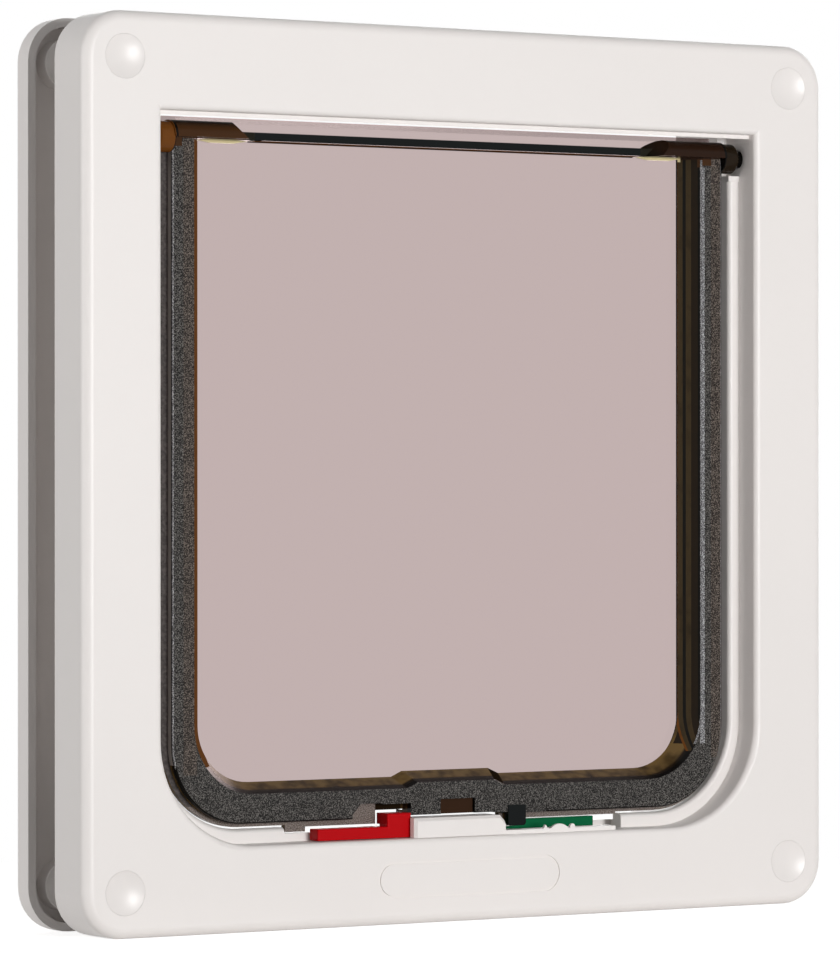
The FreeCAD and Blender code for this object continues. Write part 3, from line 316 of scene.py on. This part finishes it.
    # The top rib and the stop tab are seen along their whole depth: nearly black
    rib = zone(tree, axes, side=(-1.0, 63.0), d=(8.0, 12.95), z=(RIB_UNDERSIDE, 213.95))
    black = add(tree, "ShaderNodeBsdfPrincipled", {
        "Base Color": linear(colours.solid_black), "Roughness": 0.2, "IOR": POLYCARBONATE_IOR,
        "Specular IOR Level": 0.1,
    }).outputs[0]
    smooth = layer(tree, clear_zone, walls, polished)
    smooth = layer(tree, either(tree, rib, both(tree, tab, to_room)), smooth, black)
    # Painted light: the rib's underside and the wall on the left get a flat brown for the light they let
    # through
    under = both(tree, rib, between(tree, facing["Z"], -1.01, -0.7))
    left_wall = zone(tree, axes, x=(-84.0, -76.0), d=(7.0, 13.0), z=(UPRIGHT_FOOT, RIB_UNDERSIDE))
    left = both(tree, left_wall, slanted)
    backlit_shader = add(tree, "ShaderNodeBsdfDiffuse", {"Color": linear(colours.backlit_brown)}).outputs[0]
    smooth = layer(tree, either(tree, under, left), smooth, backlit_shader)
    # Painted shade: the boss's far end and the notch above the red slider's tooth get a flat dark brown, and
    # the recess is brown
    boss_end = both(tree, zone(tree, axes, x=(8.0, 22.0), d=(7.2, 13.0), z=(30.0, 44.0)),
                    between(tree, facing["X"], 0.25, 1.01))
    notch = zone(tree, axes, x=(-27.5, -15.5), d=(7.3, 16.0), z=(24.0, 34.0))
    shade_shader = add(tree, "ShaderNodeBsdfDiffuse", {"Color": linear(colours.wall_brown_and_shade)}).outputs[0]
    smooth = layer(tree, either(tree, boss_end, notch), smooth, shade_shader)
    recess = add(tree, "ShaderNodeBsdfDiffuse", {"Color": linear(colours.recess_brown)}).outputs[0]
    smooth = layer(tree, both(tree, boss_recess, to_room), smooth, recess)
    smooth = layer(tree, either(tree, either(tree, flange, outside), glint_edge), smooth, satin)
    tree.links.new(layer(tree, grained, smooth, rough_face), out.inputs["Surface"])
    return material


def seen_rays(tree):
    """One for the rays that see the stage: straight from the camera, mirrored or let through."""
    path = add(tree, "ShaderNodeLightPath").outputs
    seen = either(tree, path["Is Camera Ray"], path["Is Glossy Ray"])
    return either(tree, seen, path["Is Transmission Ray"])


def plated_steel(name, colour, roughness):
    """Zinc or nickel plated steel."""
    material, tree, out = new_material(name)
    place = object_place(tree)
    blotch = grain(tree, place, 1.5)
    rough = add(tree, "ShaderNodeMapRange", {"Value": blotch.outputs["Fac"], "To Min": roughness,
                                             "To Max": roughness + 0.2})
    shader = add(tree, "ShaderNodeBsdfPrincipled", {
        "Base Color": linear(colour), "Metallic": 1.0, "Roughness": rough.outputs["Result"],
    })
    tree.links.new(shader.outputs["BSDF"], out.inputs["Surface"])
    return material


def dress(names, material):
    """Give CAD nodes a finish."""
    for name in names:
        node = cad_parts[name]
        node.data.materials.clear()
        node.data.materials.append(material)


class CatFlapColours(bpy.types.PropertyGroup):
    """Colours of the finishes and of the painted light and shade, as sRGB hex codes."""

    frame_white: StringProperty(name="Frame white", description="White of the frames", default="#F0EBE8")
    cap_white: StringProperty(name="Cap white", description="White of the screw caps", default="#F0EBE8")
    window_tint: StringProperty(name="Window tint", description="Tint of one face of the sheet",
                                default="#DED4D3")
    rim_dark: StringProperty(name="Rim dark", description="Dark of the grained rim", default="#0E0D0C")
    rim_speck: StringProperty(name="Rim speck", description="Light specks of the grained rim",
                              default="#7E7A76")
    warm_dark: StringProperty(name="Warm rim dark", description="Dark of the rim's warmer halves",
                              default="#191411")
    warm_speck: StringProperty(name="Warm rim speck", description="Specks of the rim's warmer halves",
                               default="#877B72")
    # Painted highlight: the light line and specks of the rim's rounded edges
    glint_line: StringProperty(name="Edge line", description="Light line of the rim's rounded edge",
                              default="#504F50")
    glint_speck: StringProperty(name="Edge speck", description="Specks of the rim's rounded edge",
                               default="#D8D8DA")
    flange_dark: StringProperty(name="Flange dark", description="Dark of the satin flange",
                                default="#3A3533")
    flange_light: StringProperty(name="Flange light", description="Light of the satin flange",
                                 default="#544D4B")
    # Painted light: a lighter grey for the rim's outer side, which lies in shadow
    outside_lit_grey: StringProperty(name="Outside grey", description="The rim's outer side, in shadow",
                                 default="#86807C")
    foot_dark: StringProperty(name="Foot dark", description="Dark of the flange along the foot",
                              default="#4A403A")
    foot_light: StringProperty(name="Foot light", description="Light of the flange along the foot",
                               default="#9A8F88")
    # Painted light: amber for thin walls with light shining through them
    amber_glow: StringProperty(name="Edge amber", description="Thin walls with light behind them",
                               default="#6E5733")
    # Painted light shining through the rib's underside and the left wall
    backlit_brown: StringProperty(name="Thin brown", description="Edges with the light right behind them",
                               default="#6B4425")
    # Also painted shade: the flat dark of the boss's far end and the notch
    wall_brown_and_shade: StringProperty(name="Edge brown", description="Walls of middling thickness",
                               default="#22190F")
    # Also painted shade: the hoods' upper rear edges and the groove by the rim's outer side
    edge_deep_and_shade: StringProperty(name="Edge deep", description="Walls seen along their whole depth",
                              default="#0C0A08")
    hood_brown: StringProperty(name="Hood brown", description="Solid hoods over the hinge",
                               default="#432A16")
    # Painted see-through: light and dark stripes for the hollow rim behind the window's wall
    see_through_olive: StringProperty(name="Stripe olive", description="Lighter stripes of the window's wall",
                                 default="#3F3320")
    see_through_black: StringProperty(name="Stripe black", description="Dark stripe of the window's wall",
                                 default="#12100D")
    # Painted shade: the right hood, darker as a whole
    hood_shaded: StringProperty(name="Hood dark", description="The right hood, with less light behind it",
                              default="#2B1A10")
    nose_olive: StringProperty(name="Nose olive", description="Nose of a hood", default="#1C1A12")
    # Painted light: the glow of the left pivot end, also used for a lit stripe of the see-through
    pivot_glow: StringProperty(name="Pivot amber", description="Left pivot end, with light behind it",
                                default="#6A3E15")
    # Painted light: bright cream for light coming through the sheet onto the web under a hood
    sliver_glow: StringProperty(name="Sliver cream", description="Thin web under a hood",
                                 default="#E0D2A4")
    recess_brown: StringProperty(name="Recess brown", description="Dark brown inside the boss's recess",
                                 default="#3A281D")
    solid_black: StringProperty(name="Solid black", description="Top rib and stop tab",
                                default="#04090A")
    slider_red: StringProperty(name="Red", description="Slider that stops the inward swing",
                               default="#B8000A")
    slider_green: StringProperty(name="Green", description="Slider that stops the outward swing",
                                 default="#00663D")


class CatFlapStage(bpy.types.PropertyGroup):
    """Sizes and levels of the stage."""

    floor_size: FloatProperty(name="Floor size", description="Width of the floor", default=8.0,
                              unit="LENGTH")
    shadow_reach: FloatProperty(name="Shadow reach", description="Radius of the floor that shows a shadow",
                                default=0.25, unit="LENGTH")
    key_power: FloatProperty(name="Key light", description="Power of the main soft light in watts",
                             default=10.2)
    ambient: FloatProperty(name="Ambient", description="Strength of the surrounding light", default=0.2)


class CATFLAP_OT_white_mouldings(bpy.types.Operator):
    """Finish the two frames, the lock cover and the screw caps"""

    bl_idname = "catflap.white_mouldings"
    bl_label = "White mouldings"

    def execute(self, context):
        colours = context.scene.cat_flap_colours
        white = moulded_white_abs("white_abs_blasted", colours.frame_white, 0.42)
        dress(["inner_frame", "outer_frame", "lock_cover"], white)
        caps = moulded_white_abs("white_abs_caps", colours.cap_white, 0.36)
        dress([f"screw_cap_{i}" for i in range(1, 5)], caps)
        return {"FINISHED"}


class CATFLAP_OT_flap(bpy.types.Operator):
    """Finish the tinted flap"""

    bl_idname = "catflap.flap"
    bl_label = "Tinted flap"

    def execute(self, context):
        colours = context.scene.cat_flap_colours
        dress(["flap"], smoked_polycarbonate("smoked_polycarbonate", colours))
        return {"FINISHED"}


class CATFLAP_OT_sliders(bpy.types.Operator):
    """Finish the two lock sliders"""

    bl_idname = "catflap.sliders"
    bl_label = "Lock sliders"

    def execute(self, context):
        colours = context.scene.cat_flap_colours
        dress(["inward_lock_slider"], dyed_abs("red_abs_polished", colours.slider_red, 0.3))
        dress(["outward_lock_slider"], dyed_abs("green_abs_polished", colours.slider_green, 0.35))
        return {"FINISHED"}


class CATFLAP_OT_metal(bpy.types.Operator):
    """Finish the screws and the magnets"""

    bl_idname = "catflap.metal"
    bl_label = "Screws and magnets"

    def execute(self, context):
        dress([f"fixing_screw_{i}" for i in range(1, 5)], plated_steel("zinc_plated_steel", "#C9C9C6", 0.3))
        dress(["flap_magnet", "sill_magnet"], plated_steel("nickel_plated_magnet", "#8A8784", 0.35))
        return {"FINISHED"}


class CATFLAP_OT_stage(bpy.types.Operator):
    """Make the floor, the lights, the world and the camera"""

    bl_idname = "catflap.stage"
    bl_label = "Stage"

    def execute(self, context):
        stage = context.scene.cat_flap_stage
        self.make_floor(stage)
        self.make_world(stage)
        self.make_lights(stage)
        self.make_camera(context)
        context.scene.view_settings.view_transform = "Standard"
        return {"FINISHED"}

    def make_floor(self, stage):
        """A pale floor that keeps the shadow and is white to the camera."""
        shape = bmesh.new()
        bmesh.ops.create_grid(shape, x_segments=1, y_segments=1, size=stage.floor_size / 2)
        mesh = bpy.data.meshes.new("floor")
        shape.to_mesh(mesh)
        shape.free()
        floor = bpy.data.objects.new("floor", mesh)
        bpy.context.scene.collection.objects.link(floor)
        material, tree, out = new_material("matt_white_paper")
        paper = add(tree, "ShaderNodeBsdfDiffuse", {"Color": linear("#E6E5E4")})
        seen = seen_rays(tree)
        lift = add(tree, "ShaderNodeMath", {0: seen, 1: 0.75}, operation="MULTIPLY")
        glow = add(tree, "ShaderNodeEmission", {"Color": WHITE, "Strength": lift.outputs[0]})
        near = add(tree, "ShaderNodeAddShader", {0: paper.outputs[0], 1: glow.outputs[0]})
        # Away from the object the floor looks as white as the world, so that no horizon shows
        reach = add(tree, "ShaderNodeVectorMath", {0: object_place(tree)}, operation="LENGTH")
        far = both(tree, seen, ramp(tree, reach.outputs["Value"], stage.shadow_reach * 0.8,
                                    stage.shadow_reach))
        white = add(tree, "ShaderNodeEmission", {"Color": WHITE, "Strength": 1.0})
        tree.links.new(layer(tree, far, near.outputs[0], white.outputs[0]), out.inputs["Surface"])
        mesh.materials.append(material)

    def make_world(self, stage):
        """White where it is seen, softer where it lights."""
        world = bpy.data.worlds.new("studio")
        bpy.context.scene.world = world
        world.use_nodes = True
        tree = world.node_tree
        tree.nodes.clear()
        strength = add(tree, "ShaderNodeMapRange", {"Value": seen_rays(tree), "To Min": stage.ambient,
                                                    "To Max": 1.0})
        back = add(tree, "ShaderNodeBackground", {"Color": WHITE, "Strength": strength.outputs["Result"]})
        out = add(tree, "ShaderNodeOutputWorld")
        tree.links.new(back.outputs[0], out.inputs["Surface"])

    def make_lights(self, stage):
        """Soft lights: low in front, so that the upper lip is lit, on the left, and behind."""
        target = Vector((0, 0, 0.12))
        for name, place, width, power in (("front", (0.1, -1.3, 0.18), 0.34, stage.key_power),
                                          ("left", (-1.6, 0.1, 0.3), 0.9, stage.key_power * 0.95),
                                          ("back", (1.1, 1.3, 0.35), 1.2, stage.key_power * 1.5)):
            lamp = bpy.data.lights.new(name, "AREA")
            lamp.shape = "SQUARE"
            lamp.size = width
            lamp.energy = power
            light = bpy.data.objects.new(name, lamp)
            light.location = place
            light.rotation_euler = (target - light.location).to_track_quat("-Z", "Y").to_euler()
            bpy.context.scene.collection.objects.link(light)

    def make_camera(self, context):
        """The photograph's camera."""
        lens = bpy.data.cameras.new("photo_camera")
        lens.lens = PHOTO_LENS
        lens.sensor_width = PHOTO_SENSOR
        lens.sensor_fit = "HORIZONTAL"
        lens.clip_end = 50.0
        camera = bpy.data.objects.new("photo_camera", lens)
        camera.rotation_mode = "XYZ"
        camera.location = PHOTO_EYE
        camera.rotation_euler = (math.pi / 2 + PHOTO_PITCH, PHOTO_ROLL, -PHOTO_YAW)
        context.scene.collection.objects.link(camera)
        context.scene.camera = camera


class CATFLAP_PT_panel(bpy.types.Panel):
    """Lists the steps that finish the cat flap"""

    bl_idname = "CATFLAP_PT_panel"
    bl_label = "Cat flap"
    bl_space_type = "VIEW_3D"
    bl_region_type = "UI"
    bl_category = "Cat flap"

    def draw(self, context):
        for step in STEPS:
            self.layout.operator(step.bl_idname)
        for group in (context.scene.cat_flap_colours, context.scene.cat_flap_stage):
            for name in group.__annotations__:
                self.layout.prop(group, name)


STEPS = (CATFLAP_OT_white_mouldings, CATFLAP_OT_flap, CATFLAP_OT_sliders, CATFLAP_OT_metal,
         CATFLAP_OT_stage)
CLASSES = (CatFlapColours, CatFlapStage, *STEPS, CATFLAP_PT_panel)


def register():
    for item in CLASSES:
        bpy.utils.register_class(item)
    bpy.types.Scene.cat_flap_colours = PointerProperty(type=CatFlapColours)
    bpy.types.Scene.cat_flap_stage = PointerProperty(type=CatFlapStage)


def unregister():
    del bpy.types.Scene.cat_flap_stage
    del bpy.types.Scene.cat_flap_colours
    for item in reversed(CLASSES):
        bpy.utils.unregister_class(item)


def main():
    register()
    for step in STEPS:
        group, name = step.bl_idname.split(".")
        getattr(getattr(bpy.ops, group), name)()


if __name__ == "__main__":
    main()
